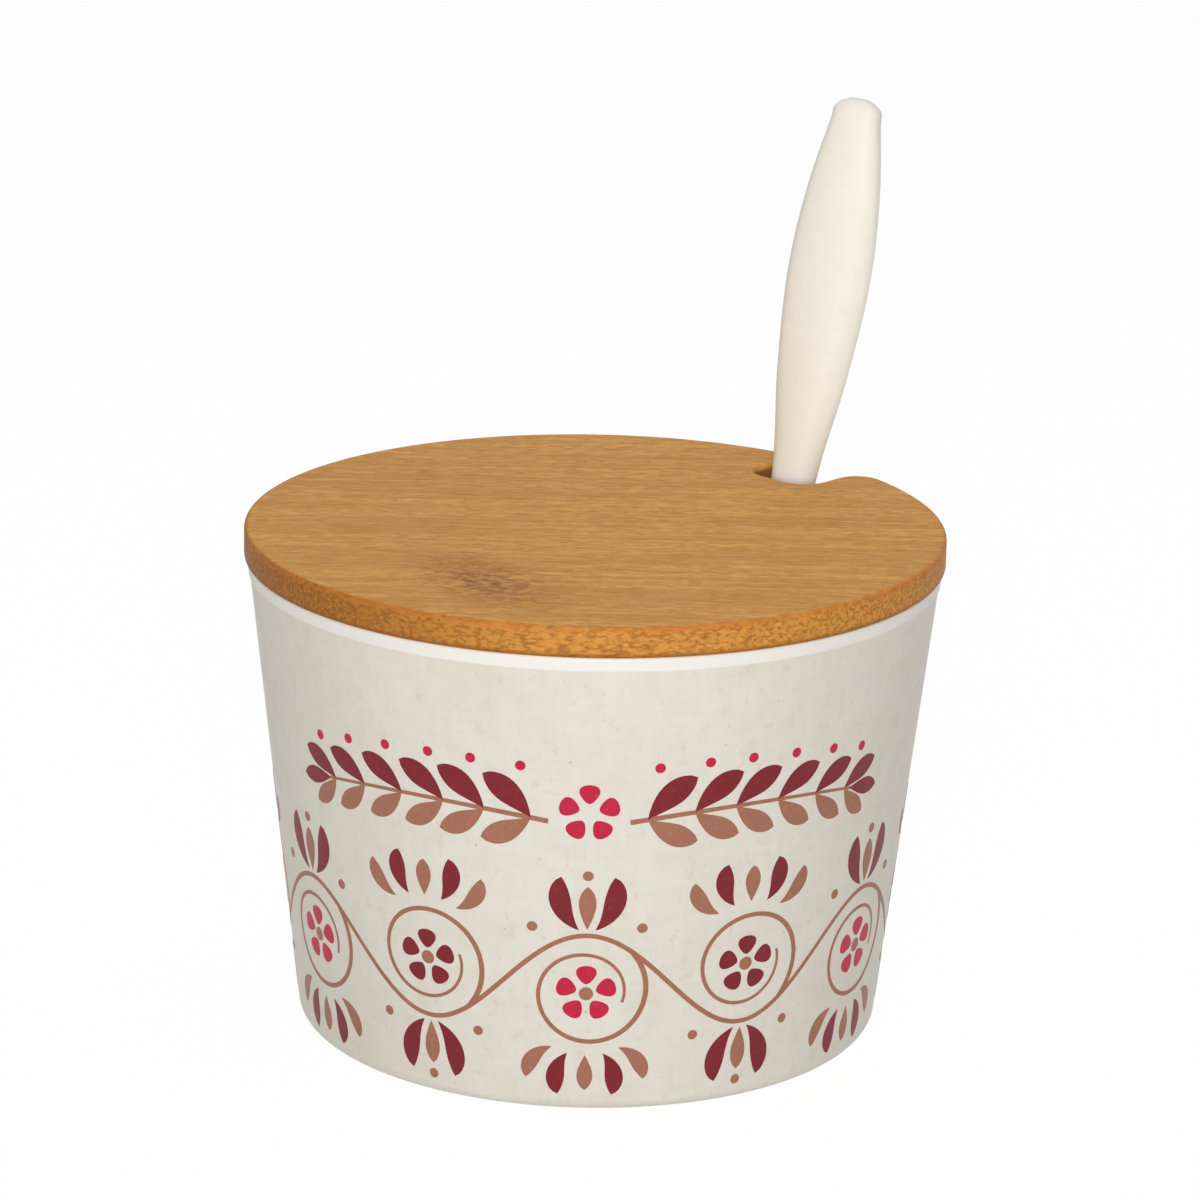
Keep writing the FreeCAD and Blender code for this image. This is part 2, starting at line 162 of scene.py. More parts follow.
class BorderSettings(PropertyGroup):
    middle: length("Middle", 0.0220, "Height of the vine's middle line, up along the wall")
    waves: IntProperty(name="Waves", description="Waves of the vine round the bowl", default=6, min=3)
    swing: length("Swing", 0.0082, "Rise of the vine's stem from its middle line to a crest")
    line: length("Line", 0.00075, "Width of the vine's stem")
    sprig_height: length("Sprig height", 0.0506, "Height of the two sprigs, up along the wall")
    ink_proud: length("Ink stands out", 0.00004, "How far the ink stands out of the wall")
    ink_depth: length("Ink depth", 0.00012, "Thickness of the ink")
    burgundy: colour("Burgundy", linear(128, 37, 45), "Ink of leaves and half of the blossoms")
    crimson: colour("Crimson", linear(196, 36, 70), "Ink of the other blossoms and of the sprigs' berries")
    taupe: colour("Taupe", linear(166, 112, 92), "Ink of stems, back leaves and dots")


class StageSettings(PropertyGroup):
    distance: length("Distance", 0.89515, "Distance of the camera from the point that it looks at")
    elevation: angle("Elevation", 16.742, "Height of the camera above the level")
    roll: angle("Roll", 1.158, "Roll of the camera")
    aim_side: length("Aim sideways", 0.000925, "Place of the aim, to the right of the bowl's axis")
    aim_height: length("Aim height", 0.068195, "Height of the point that the camera looks at")
    lens: FloatProperty(name="Lens", description="Focal length in millimetres on a 36 mm sensor",
                        default=170.68, min=1.0)
    ambient: FloatProperty(name="Ambient", description="Strength of the light from all round",
                           default=0.28, min=0.0)
    key: FloatProperty(name="Key light", description="Power of the front light",
                       default=5.4, min=0.0, unit="POWER")
    top: FloatProperty(name="Top light", description="Power of the light overhead",
                       default=2.2, min=0.0, unit="POWER")
    ambient_colour: colour("Ambient colour", (1.0, 0.94, 0.85), "Colour of the light from all round")
    floor: colour("Floor", (0.9, 0.9, 0.9), "Colour of the pale floor")


def finish_piece(name, bm, body, material, replaces=()):
    """Object of a finished mesh, which rides on its body of the frame."""
    bmesh.ops.remove_doubles(bm, verts=bm.verts, dist=MERGE)
    bmesh.ops.recalc_face_normals(bm, faces=bm.faces)
    mesh = bpy.data.meshes.new(name)
    bm.to_mesh(mesh)
    bm.free()
    mesh.shade_smooth()
    mesh.set_sharp_from_angle(angle=CREASE)
    mesh.materials.append(material)
    piece = bpy.data.objects.new(name, mesh)
    bpy.context.scene.collection.objects.link(piece)
    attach(piece, body)
    if replaces:
        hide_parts(*replaces)
    return piece


def add_node(tree, kind, inputs=None, **fields):
    """Shader node with its fields set, and its sockets set or linked."""
    made = tree.nodes.new(kind)
    for field, value in fields.items():
        setattr(made, field, value)
    for socket, value in (inputs or {}).items():
        if isinstance(value, NodeSocket):
            tree.links.new(value, made.inputs[socket])
        else:
            made.inputs[socket].default_value = value
    return made


def new_finish(name):
    """Empty material, its node tree and its surface shader."""
    material = bpy.data.materials.new(name)
    material.use_nodes = True
    tree = material.node_tree
    return material, tree, tree.nodes["Principled BSDF"]


def mixed(tree, share, first, second):
    """Colour between two others, which are colours or sockets."""
    first, second = (tone if isinstance(tone, NodeSocket) else (*tone, 1.0) for tone in (first, second))
    # The node repeats its sockets' names for each kind of value, so those for colours go by number.
    return add_node(tree, "ShaderNodeMix", {0: share, 6: first, 7: second}, data_type="RGBA").outputs[2]


def between(tree, value, low, high, first=0.0, last=1.0):
    """Smooth step from first to last, while a value goes from low to high."""
    return add_node(tree, "ShaderNodeMapRange",
                    {"Value": value, "From Min": low, "From Max": high, "To Min": first, "To Max": last},
                    interpolation_type="SMOOTHSTEP").outputs["Result"]


def sums(tree, operation, first, second):
    """Result of a math operation on two values or sockets."""
    return add_node(tree, "ShaderNodeMath", {0: first, 1: second}, operation=operation).outputs[0]


def noise(tree, place, scale, detail=2.0, roughness=0.5):
    """Noise with about so many lumps to a metre."""
    inputs = {"Vector": place, "Scale": scale, "Detail": detail, "Roughness": roughness}
    return add_node(tree, "ShaderNodeTexNoise", inputs).outputs["Fac"]


def stretched(tree, place, scale, turn=0.0):
    """Coordinates stretched by a scale for each axis, or turned about Z."""
    return add_node(tree, "ShaderNodeMapping",
                    {"Vector": place, "Scale": scale, "Rotation": (0.0, 0.0, turn)}).outputs["Vector"]


def object_place(tree):
    return add_node(tree, "ShaderNodeTexCoord").outputs["Object"]


def axes_of(tree, place):
    return add_node(tree, "ShaderNodeSeparateXYZ", {"Vector": place}).outputs


def add_bump(tree, shader, height, strength, depth):
    bump = add_node(tree, "ShaderNodeBump", {"Height": height, "Strength": strength, "Distance": depth})
    tree.links.new(bump.outputs["Normal"], shader.inputs["Normal"])


def fibre_colour(tree, place, settings, linen, speckle):
    """Moulded fibre: cloudy tone, a faint linen of streaks, straw flecks and a few husks."""
    cloud = noise(tree, place, scale=60.0, detail=3.0)
    patches = noise(tree, place, scale=240.0, detail=3.0, roughness=0.6)
    across = noise(tree, stretched(tree, place, (0.2, 0.2, 1.6)), scale=700.0)
    upright = noise(tree, stretched(tree, place, (1.4, 1.4, 0.15)), scale=600.0)
    weave = sums(tree, "MULTIPLY", sums(tree, "ADD", across, upright), 0.5)
    flecks = noise(tree, stretched(tree, place, (1.0, 1.0, 0.7)), scale=620.0, detail=3.0, roughness=0.6)
    straw = between(tree, flecks, 0.58, 0.72)
    husk = between(tree, noise(tree, place, scale=980.0), 0.735, 0.78)
    shade = tuple(0.88 * value for value in settings.body)
    tone = mixed(tree, between(tree, weave, 0.36, 0.64, linen, 0.0), settings.body, shade)
    tone = mixed(tree, between(tree, cloud, 0.35, 0.7, 0.0, 0.3 * speckle), tone, settings.straw)
    tone = mixed(tree, between(tree, patches, 0.42, 0.72, 0.0, 0.4 * speckle), tone, settings.straw)
    tone = mixed(tree, sums(tree, "MULTIPLY", straw, speckle), tone, settings.straw)
    return mixed(tree, sums(tree, "MULTIPLY", husk, 1.5 * speckle), tone, settings.husk), weave


def fibre_surface(tree, shader, tone, weave, relief):
    """Satin skin of the fibre, with its weave just raised."""
    tree.links.new(tone, shader.inputs["Base Color"])
    tree.links.new(between(tree, weave, 0.3, 0.7, 0.36, 0.5), shader.inputs["Roughness"])
    shader.inputs["Specular IOR Level"].default_value = 0.35
    add_bump(tree, shader, weave, strength=relief, depth=0.0002)


def bowl_finish(settings):
    """Moulded bamboo fibre, with a painted highlight: whiter and plainer on the band under the rim."""
    material, tree, shader = new_finish("moulded_fibre")
    place = object_place(tree)
    tone, weave = fibre_colour(tree, place, settings, linen=0.30, speckle=0.30)
    proud = settings.lip_proud
    lip_base = BOWL_TOP - settings.lip_height
    # Painted highlight: share of the band's whiter colour.
    band = between(tree, axes_of(tree, place)["Z"], lip_base + proud / 2, lip_base + 2.5 * proud, 0.0, 0.86)
    fibre_surface(tree, shader, mixed(tree, band, tone, settings.band_highlight), weave, relief=0.12)
    return material


def spoon_finish(settings):
    """The bowl's fibre, whiter and with fewer flecks."""
    material, tree, shader = new_finish("spoon_fibre")
    tone, weave = fibre_colour(tree, object_place(tree), settings, linen=0.14, speckle=0.15)
    fibre_surface(tree, shader, tone, weave, relief=0.1)
    return material


# Middle of the bamboo's node on the lid, its half sizes along and across, and its heading from the grain.
NODE_MIDDLE = (-0.03455, -0.01043, 0.0)
NODE_HALF = (0.0185, 0.0100)
NODE_HEADING = math.radians(-56.0)
# Heights above the board's underside between which the painted shade along its lower edge fades.
LOWER_SHADE_FULL = 0.0002
LOWER_SHADE_END = 0.0011


def lid_finish(settings):
    """Solid bamboo: fibres run with the grain right through the board, and show as dots at its ends."""
    material, tree, shader = new_finish("bamboo_board")
    place = object_place(tree)
    grain = stretched(tree, place, (1.0, 1.0, 1.0), -settings.grain)
    streaks = noise(tree, stretched(tree, grain, (0.05, 1.0, 1.0)), scale=480.0, detail=3.0)
    mottle = noise(tree, stretched(tree, grain, (0.4, 1.0, 1.0)), scale=1150.0, detail=3.0, roughness=0.6)
    fibres = noise(tree, stretched(tree, grain, (0.06, 1.0, 1.0)), scale=2000.0)
    tone = mixed(tree, between(tree, streaks, 0.30, 0.70, 0.0, 0.66), settings.pale, settings.brown)
    tone = mixed(tree, between(tree, mottle, 0.32, 0.70, 0.0, 0.85), tone, settings.brown)
    tone = mixed(tree, between(tree, fibres, 0.42, 0.70, 0.0, 0.15), tone, settings.node)
    tone = mixed(tree, node_share(tree, grain, settings), tone, settings.node)
    level = stretched(tree, place, (1.0, 1.0, 0.0))
    reach = add_node(tree, "ShaderNodeVectorMath", {0: level}, operation="LENGTH").outputs["Value"]
    side = between(tree, reach, LID_RADIUS - settings.edge_round, LID_RADIUS - settings.edge_round / 4)
    tone = mixed(tree, side, tone, edge_colour(tree, place, grain, settings))
    # Painted highlight along the board's upper edge.
    tone = mixed(tree, highlight_share(tree, place, reach, mottle, settings), tone, settings.wear_and_highlight)
    # Painted shade on the walls of the notch.
    tone = mixed(tree, notch_shade_share(tree, place, settings), tone, settings.node)
    tree.links.new(tone, shader.inputs["Base Color"])
    tree.links.new(between(tree, fibres, 0.3, 0.7, 0.45, 0.62), shader.inputs["Roughness"])
    shader.inputs["Specular IOR Level"].default_value = 0.12
    add_bump(tree, shader, fibres, strength=0.25, depth=0.0002)
    return material


def edge_colour(tree, place, grain, settings):
    """Sealed edge of the board: long streaks at the front, dotted, darker towards the grain's -X end, and
    with painted shade along its lower edge.
    """
    along = axes_of(tree, grain)["X"]
    end = between(tree, along, 0.0, -0.85 * LID_RADIUS, 0.0, 0.72)
    tone = mixed(tree, end, settings.edge, settings.node)
    streaks = noise(tree, stretched(tree, grain, (0.12, 1.0, 1.0)), scale=2600.0, roughness=0.6)
    tone = mixed(tree, between(tree, streaks, 0.42, 0.62, 0.0, 0.6), tone, settings.brown)
    dots = noise(tree, stretched(tree, grain, (0.4, 1.0, 1.0)), scale=1900.0, roughness=0.6)
    tone = mixed(tree, between(tree, dots, 0.40, 0.66, 0.0, 0.6), tone, settings.node)
    height = axes_of(tree, place)["Z"]
    base = LID_TOP - settings.thickness
    # Painted shade along the lower edge of the board's side.
    lower_edge_shade = between(tree, height, base + LOWER_SHADE_FULL, base + LOWER_SHADE_END, 0.7, 0.0)
    return mixed(tree, lower_edge_shade, tone, settings.node)


def highlight_share(tree, place, reach, speckle, settings):
    """Share of the painted highlight, a warmer, broken line along the board's upper edge."""
    height = axes_of(tree, place)["Z"]
    band = settings.edge_round
    outer = between(tree, reach, LID_RADIUS - 1.5 * band, LID_RADIUS - 0.8 * band)
    upper = between(tree, height, LID_TOP - 1.8 * band, LID_TOP - band)
    line = sums(tree, "MULTIPLY", outer, upper)
    return sums(tree, "MULTIPLY", line, between(tree, speckle, 0.38, 0.58, 0.05, 0.7))


def notch_shade_share(tree, place, settings):
    """Share of the painted shade, in the node's colour, on the walls of the notch."""
    axes = axes_of(tree, place)
    fade = settings.edge_round
    inside = between(tree, axes["X"], settings.notch_end - 2 * fade, settings.notch_end - fade)
    aside = sums(tree, "ABSOLUTE", axes["Y"], 0.0)
    beside = between(tree, aside, settings.notch_half + fade, settings.notch_half + 2 * fade, 1.0, 0.0)
    below = between(tree, axes["Z"], LID_TOP - 2 * fade, LID_TOP - fade, 0.75, 0.0)
    return sums(tree, "MULTIPLY", sums(tree, "MULTIPLY", inside, beside), below)


def node_share(tree, grain, settings):
    """Share of the dark, broken patch where the bamboo had a node."""
    middle = Matrix.Rotation(-settings.grain, 3, "Z") @ Vector(NODE_MIDDLE)
    moved = add_node(tree, "ShaderNodeVectorMath", {0: grain, 1: middle}, operation="SUBTRACT").outputs[0]
    turned = stretched(tree, moved, (1.0, 1.0, 0.0), -NODE_HEADING)
    scaled = stretched(tree, turned, (1 / NODE_HALF[0], 1 / NODE_HALF[1], 1.0))
    reach = add_node(tree, "ShaderNodeVectorMath", {0: scaled}, operation="LENGTH").outputs["Value"]
    patch = between(tree, reach, 0.1, 1.2, 1.0, 0.0)
    knots = noise(tree, stretched(tree, grain, (0.6, 1.0, 1.0)), scale=1000.0, detail=3.0, roughness=0.6)
    broken = between(tree, knots, 0.40, 0.60, 0.15, 1.0)
    return sums(tree, "MULTIPLY", sums(tree, "MULTIPLY", patch, broken), 0.8)


def ink_finish(name, ink):
    """Printed ink with the fibre's flecks showing through it."""
    material, tree, shader = new_finish(name)
    place = object_place(tree)
    wear_and_highlight = tuple(min(1.0, value * 1.25 + 0.01) for value in ink)
    dense = tuple(value * 0.82 for value in ink)
    flecks = noise(tree, place, scale=1100.0, detail=3.0, roughness=0.6)
    thin = between(tree, flecks, 0.5, 0.75, 0.0, 0.6)
    cloud = between(tree, noise(tree, place, scale=180.0), 0.35, 0.7, 0.0, 0.35)
    tone = mixed(tree, cloud, ink, dense)
    tree.links.new(mixed(tree, thin, tone, wear_and_highlight), shader.inputs["Base Color"])
    tree.links.new(between(tree, thin, 0.0, 0.6, 0.42, 0.55), shader.inputs["Roughness"])
    shader.inputs["Specular IOR Level"].default_value = 0.2
    return material


class HONEY_OT_bowl(Operator):
    """Turn the bowl from its half outline"""
    bl_idname = "honey_dish.bowl"
    bl_label = "Make bowl"

    def execute(self, context):
        bowl = context.scene.honey_bowl
        run = (bowl.rim_radius - bowl.foot_radius) / BOWL_TOP
        level_wall = bowl.wall * math.hypot(1.0, run)
        lip_base = BOWL_TOP - bowl.lip_height
        lip_radius = bowl.foot_radius + lip_base * run
        ring_inner = bowl.foot_radius - bowl.heel_round - bowl.ring_width
        well_radius = bowl.foot_radius + bowl.floor * run - level_wall
        fine_round = bowl.lip_proud / 3
        ring_round = bowl.recess / 2
        bm = bmesh.new()
        turn_shell(bm, [
            (0.0, bowl.recess, 0.0),
            (ring_inner - bowl.recess, bowl.recess, ring_round),
            (ring_inner, 0.0, ring_round),
            (bowl.foot_radius, 0.0, bowl.heel_round),
            (lip_radius, lip_base, fine_round),
            (lip_radius + bowl.lip_proud, lip_base, fine_round),
            (bowl.rim_radius + bowl.lip_proud, BOWL_TOP, bowl.lip_round),
            (bowl.rim_radius - level_wall, BOWL_TOP, bowl.lip_round),
            (well_radius, bowl.floor, bowl.well_round),
            (0.0, bowl.floor, 0.0),
        ], bowl.steps)
        finish_piece("bowl_shell", bm, "bowl", bowl_finish(bowl), ["bowl"])
        return {"FINISHED"}


def turn_shell(bm, corners, steps):
    """Closed shell turned about Z from a half outline of (radius, height, round) corners."""
    verts = [bm.verts.new((radius, 0.0, height)) for radius, height, _ in corners]
    for pair in zip(verts, verts[1:]):
        bm.edges.new(pair)
    turns = [(here.co - before.co).angle(after.co - here.co)
             for before, here, after in zip(verts, verts[1:], verts[2:])]
    for vert, turn, corner in zip(verts[1:], turns, corners[1:]):
        bevel_corner(bm, vert, corner[2] * math.tan(turn / 2))
    bmesh.ops.spin(bm, geom=list(bm.verts) + list(bm.edges), cent=(0, 0, 0), axis=(0, 0, 1),
                   dvec=(0, 0, 0), angle=2 * math.pi, steps=steps, use_merge=True)


def bevel_corner(bm, corner, reach):
    bmesh.ops.bevel(bm, geom=[corner], affect="VERTICES", offset=reach, offset_type="ABSOLUTE",
                    segments=8, profile=0.5, material=-1)


class HONEY_OT_lid(Operator):
    """Make the lid's notched board with the locating step under it"""
    bl_idname = "honey_dish.lid"
    bl_label = "Make lid"

    def execute(self, context):
        lid = context.scene.honey_lid
        base = LID_TOP - lid.thickness
        bm = bmesh.new()
        board = notched_ring(bm, base, LID_RADIUS, lid.notch_end, lid.notch_half, lid.notch_corner,
                             lid.notch_mouth)
        step = notched_ring(bm, base, lid.step_radius, lid.notch_end - lid.edge_round,
                            lid.notch_half + lid.edge_round, lid.notch_corner + lid.edge_round,
                            lid.step_mouth)
        bmesh.ops.bridge_loops(bm, edges=board + step)
        top = raise_ring(bm, board, lid.thickness)
        foot = raise_ring(bm, step, -lid.step_depth)
        bmesh.ops.edgeloop_fill(bm, edges=top)
        bmesh.ops.edgeloop_fill(bm, edges=foot)
        bmesh.ops.recalc_face_normals(bm, faces=bm.faces)
        round_edges(bm, top + board, lid.edge_round)
        round_edges(bm, foot, lid.step_round)
        flats = [face for face in bm.faces if len(face.verts) > 4]
        bmesh.ops.inset_individual(bm, faces=flats, thickness=lid.edge_round, depth=0.0)
        finish_piece("lid_board", bm, "lid", lid_finish(lid), ["lid"])
        return {"FINISHED"}


# Steps round the lid's rim, and round each corner of its notch.
RIM_STEPS = 220
ROUND_STEPS = 10


def notched_ring(bm, height, radius, notch_end, notch_half, corner, mouth):
    """Edges of a level circle with a notch in from +X, drawn as one pen stroke round it."""
    known = set(bm.edges)
    mouth_x = math.sqrt((radius - mouth) ** 2 - (notch_half + mouth) ** 2)
    opening = math.atan2(notch_half + mouth, mouth_x)
    quarter = math.pi / 2
    first = bm.verts.new((radius * math.cos(opening), radius * math.sin(opening), height))

    def swing(pen, x, y, sweep, steps=ROUND_STEPS):
        drawn = bmesh.ops.spin(bm, geom=[pen], cent=(x, y, height), axis=(0, 0, 1), dvec=(0, 0, 0),
                               angle=sweep, steps=steps)
        return drawn["geom_last"][0]

    def draw(pen, x, y):
        end = bm.verts.new((x, y, height))
        bm.edges.new((pen, end))
        return end

    pen = swing(first, 0.0, 0.0, 2 * (math.pi - opening), RIM_STEPS)
    pen = swing(pen, mouth_x, -notch_half - mouth, quarter + opening)
    pen = draw(pen, notch_end + corner, -notch_half)
    pen = swing(pen, notch_end + corner, corner - notch_half, -quarter)
    pen = draw(pen, notch_end, notch_half - corner)
    pen = swing(pen, notch_end + corner, notch_half - corner, -quarter)
    pen = draw(pen, mouth_x, notch_half)
    pen = swing(pen, mouth_x, notch_half + mouth, quarter + opening)
    bmesh.ops.pointmerge(bm, verts=[first, pen], merge_co=first.co)
    return [edge for edge in bm.edges if edge not in known]


def raise_ring(bm, ring, rise):
    """Wall drawn up or down from a ring of edges, as the edges of its far end."""
    drawn = bmesh.ops.extrude_edge_only(bm, edges=ring)["geom"]
    bmesh.ops.translate(bm, vec=(0.0, 0.0, rise), verts=only(drawn, bmesh.types.BMVert))
    return only(drawn, bmesh.types.BMEdge)


def only(drawn, kind):
    """Items of one kind among what an operator drew."""
    return [item for item in drawn if isinstance(item, kind)]


def round_edges(bm, edges, size):
    bmesh.ops.bevel(bm, geom=edges, affect="EDGES", offset=size, offset_type="OFFSET", segments=4,
                    profile=0.5, material=-1)


# Steps of a section's back and front, of the round at the handle's tip, and from the scoop's tip up.
BACK_STEPS = 16
HOLLOW_STEPS = 14
TIP_STEPS = 6
SCOOP_STEPS = 12
# Squareness of the spoon's sections, where 2 is an ellipse: scoop and handle, and the handle's tip.
ROUND_SECTION = 2.0
TIP_SECTION = 2.9
# Share of the scoop's half length above which the shoulders leave its ellipse.
SHOULDER = 0.45
# Share of the tip's round that its thickness takes.
TIP_FLATNESS = 0.8
# Shares of a section's half width where its flat front starts, by the scoop and along the handle.
RIM_SHARE = 0.82
FRONT_SHARE = 0.985


class HONEY_OT_spoon(Operator):
    """Draw the spoon ring by ring from the scoop's tip to the handle's tip"""
    bl_idname = "honey_dish.spoon"
    bl_label = "Make spoon"

    def execute(self, context):
        spoon = context.scene.honey_spoon
        bm = bmesh.new()
        count = BACK_STEPS + HOLLOW_STEPS + 2
        ring = bmesh.ops.create_circle(bm, cap_ends=True, segments=count, radius=spoon.neck_width)["verts"]
        edges = list(bm.edges)
        for index, row in enumerate(spoon_rows(spoon)):
            if index:
                drawn = bmesh.ops.extrude_edge_only(bm, edges=edges)["geom"]
                edges = only(drawn, bmesh.types.BMEdge)
                fresh = set(only(drawn, bmesh.types.BMVert))
                ring = [next_vert(vert, fresh) for vert in ring]
            for vert, (x, y) in zip(ring, spoon_ring(spoon, *row)):
                vert.co = (x, y, row[0])
        bmesh.ops.edgeloop_fill(bm, edges=edges)
        bmesh.ops.poke(bm, faces=[face for face in bm.faces if len(face.verts) == count])
        stand = Matrix.Translation((spoon.place, 0.0, spoon.height))
        stand = stand @ Matrix.Rotation(spoon.lean, 4, "Y") @ Matrix.Rotation(-spoon.turn, 4, "Z")
        bmesh.ops.transform(bm, matrix=stand, verts=bm.verts)
        piece = finish_piece("spoon_body", bm, "spoon", spoon_finish(spoon), ["spoon"])
        smooth = piece.modifiers.new("Smooth", "SUBSURF")
        smooth.levels = 1
        smooth.render_levels = 1
        return {"FINISHED"}


def next_vert(vert, fresh):
    """Vertex among the fresh ones that a vertex was drawn out to."""
    return next(edge.other_vert(vert) for edge in vert.link_edges if edge.other_vert(vert) in fresh)


def lid_station(spoon):
    """Distance along the spoon from its scoop's middle to the lid's top."""
    return (LID_TOP - spoon.height) / math.cos(spoon.lean)


def spoon_stations(spoon):
    """Sections that shape the spoon upwards: height, width, thickness and how far each is set forward."""
    end = spoon.scoop_length / 2
    lid = lid_station(spoon)
    belly = lid + spoon.belly_height
    tip = lid + spoon.handle_length
    return [
        scoop_section(spoon, 0.0),
        scoop_section(spoon, SHOULDER),
        (end, spoon.collar_width, spoon.collar_thickness, spoon.scoop_set / 2),
        (end + spoon.neck_rise, spoon.neck_width, spoon.neck_thickness, 0.0),
        (lid, spoon.stem_width, spoon.stem_thickness, 0.0),
        ((lid + belly) / 2, spoon.lower_swell, spoon.swell_thickness, 0.0),
        (belly, spoon.handle_width, spoon.handle_thickness, 0.0),
        ((belly + tip) / 2, spoon.upper_swell, spoon.swell_thickness, 0.0),
        (tip, spoon.tip_width, spoon.tip_thickness, 0.0),
    ]


def scoop_section(spoon, share):
    """Section of the scoop's ellipse at a share of its half length."""
    shrink = math.sqrt(1 - share ** 2)
    height = share * spoon.scoop_length / 2
    return height, spoon.scoop_width * shrink, 2 * spoon.scoop_depth * shrink, spoon.scoop_set


def spoon_rows(spoon):
    """All of the spoon's sections, from the scoop's lower tip up to the round of the handle's tip."""
    quarter = math.pi / 2
    rows = [scoop_section(spoon, -math.cos(quarter * step / SCOOP_STEPS))
            for step in range(1, SCOOP_STEPS + 1)]
    named = spoon_stations(spoon)
    for index in range(len(named) - 1):
        first, last = named[index], named[index + 1]
        before, after = named[max(index - 1, 0)], named[min(index + 2, len(named) - 1)]
        pieces = round((last[0] - first[0]) / spoon.ring_gap)
        rows += [smooth_between(before, first, last, after, step / pieces) for step in range(1, pieces + 1)]
    tip = rows[-1][0]
    round_start = tip - spoon.tip_round
    straight = [row for row in rows if row[0] < round_start]
    _, width, thickness, forward = rows[-1]
    for step in range(TIP_STEPS + 1):
        turn = quarter * step / TIP_STEPS
        shrink = 2 * spoon.tip_round * (1 - math.cos(turn))
        flare = (straight[-1][1] - width) * (1 - step / TIP_STEPS)
        straight.append((round_start + spoon.tip_round * math.sin(turn), width + flare - shrink,
                         thickness - shrink * TIP_FLATNESS, forward))
    return straight


def smooth_between(before, first, last, after, share):
    """Point on the cubic between two sections whose slopes come from their neighbours."""
    span = last[0] - first[0]
    row = [first[0] + span * share]
    for column in range(1, len(first)):
        leave = (last[column] - before[column]) / (last[0] - before[0]) * span
        arrive = (after[column] - first[column]) / (after[0] - first[0]) * span
        rise = last[column] - first[column]
        value = first[column] + leave * share
        value += (3 * rise - 2 * leave - arrive) * share ** 2
        value += (leave + arrive - 2 * rise) * share ** 3
        row.append(value)
    return tuple(row)


def spoon_ring(spoon, height, width, thickness, forward):
    """Outline of one section: back from side to side, then the front, hollowed in the scoop."""
    lid = lid_station(spoon)
    neck = spoon.scoop_length / 2 + spoon.neck_rise / 2
    handle = min(1.0, max(0.0, (height - neck) / (lid - neck)))
    rise = min(1.0, max(0.0, (height - lid) / spoon.handle_length))
    square = ROUND_SECTION + (TIP_SECTION - ROUND_SECTION) * rise ** 3
    back = thickness / 2 - forward
    front = max(-thickness / 2 - forward, -spoon.scoop_set - spoon.rim_proud)
    middle = front * (1 - handle) + (front + back) / 2 * handle
    half = width / 2
    points = [oval_point(half, middle, back - middle, square, math.pi * step / BACK_STEPS)
              for step in range(BACK_STEPS + 1)]
    share = height / (spoon.scoop_length / 2 - spoon.scoop_wall)
    hollow = math.sqrt(max(0.0, 1 - share ** 2))
    inner = (spoon.scoop_width / 2 - spoon.scoop_wall) * hollow if hollow else half * RIM_SHARE
    depth = (spoon.scoop_depth - spoon.scoop_wall) * hollow
    for step in range(HOLLOW_STEPS + 1):
        turn = math.pi * (1 - step / HOLLOW_STEPS)
        scoop = oval_point(inner, front, depth, ROUND_SECTION, turn)
        plain = oval_point(half * FRONT_SHARE, middle, front - middle, square, turn)
        points.append(tuple(a * (1 - handle) + b * handle for a, b in zip(scoop, plain)))
    return points


def oval_point(half, middle, rise, square, turn):
    """Point of a half oval, which rises from its middle line."""
    x = math.cos(turn)
    y = (1 - abs(x) ** square) ** (1 / square)
    return half * x, middle + rise * y


class HONEY_OT_border(Operator):
    """Print the running vine round the bowl and the two sprigs above it"""
    bl_idname = "honey_dish.border"
    bl_label = "Print border"

    def execute(self, context):
        bowl = context.scene.honey_bowl
        border = context.scene.honey_border
        inks = {ink: ink_finish(f"{ink}_ink", getattr(border, ink))
                for ink in ("burgundy", "crimson", "taupe")}
        radius = wall_point(bowl, border.middle, 0.0)[0]
        wave = 2 * math.pi * radius / border.waves
        vine = [
            ("vine_stem", "taupe", draw_vine_stem),
            ("vine_leaves", "burgundy", draw_vine_leaves),
            ("vine_back_leaves", "taupe", draw_back_leaves),
            ("vine_dots", "taupe", draw_vine_dots),
            ("crest_blossoms", "crimson", draw_crest_blossom),
            ("trough_blossoms", "burgundy", draw_trough_blossom),
        ]
        for name, ink, draw in vine:
            bm = bmesh.new()
            draw(bm, border, wave)
            wrap_on_wall(bm, bowl, border, radius)
            repeat_round(bm, border.waves)
            lay_ink(name, bm, border, inks[ink])
        radius = wall_point(bowl, border.sprig_height, 0.0)[0]
        sprigs = [
            ("sprig_stems", "taupe", draw_sprig_stem),
            ("sprig_leaves", "burgundy", draw_sprig_leaves),
            ("sprig_back_leaves", "taupe", draw_sprig_back_leaves),
            ("sprig_berries", "crimson", draw_sprig_berries),
        ]
        for name, ink, draw in sprigs:
            bm = bmesh.new()
            draw(bm, border)
            twin = bmesh.ops.mirror(bm, geom=whole(bm), axis="X", merge_dist=0.0)["geom"]
            bmesh.ops.reverse_faces(bm, faces=only(twin, bmesh.types.BMFace))
            wrap_on_wall(bm, bowl, border, radius)
            lay_ink(name, bm, border, inks[ink])
        bm = bmesh.new()
        draw_blossom(bm, Vector((0.0, border.sprig_height)))
        wrap_on_wall(bm, bowl, border, radius)
        lay_ink("sprig_blossom", bm, border, inks["crimson"])
        return {"FINISHED"}


def wall_point(bowl, up, out):
    """Radius and height of a point up along the bowl's wall from the table, and out from it."""
    slope = math.atan((bowl.rim_radius - bowl.foot_radius) / BOWL_TOP)
    height = up * math.cos(slope)
    radius = bowl.foot_radius + height * math.tan(slope)
    return radius + out * math.cos(slope), height - out * math.sin(slope)


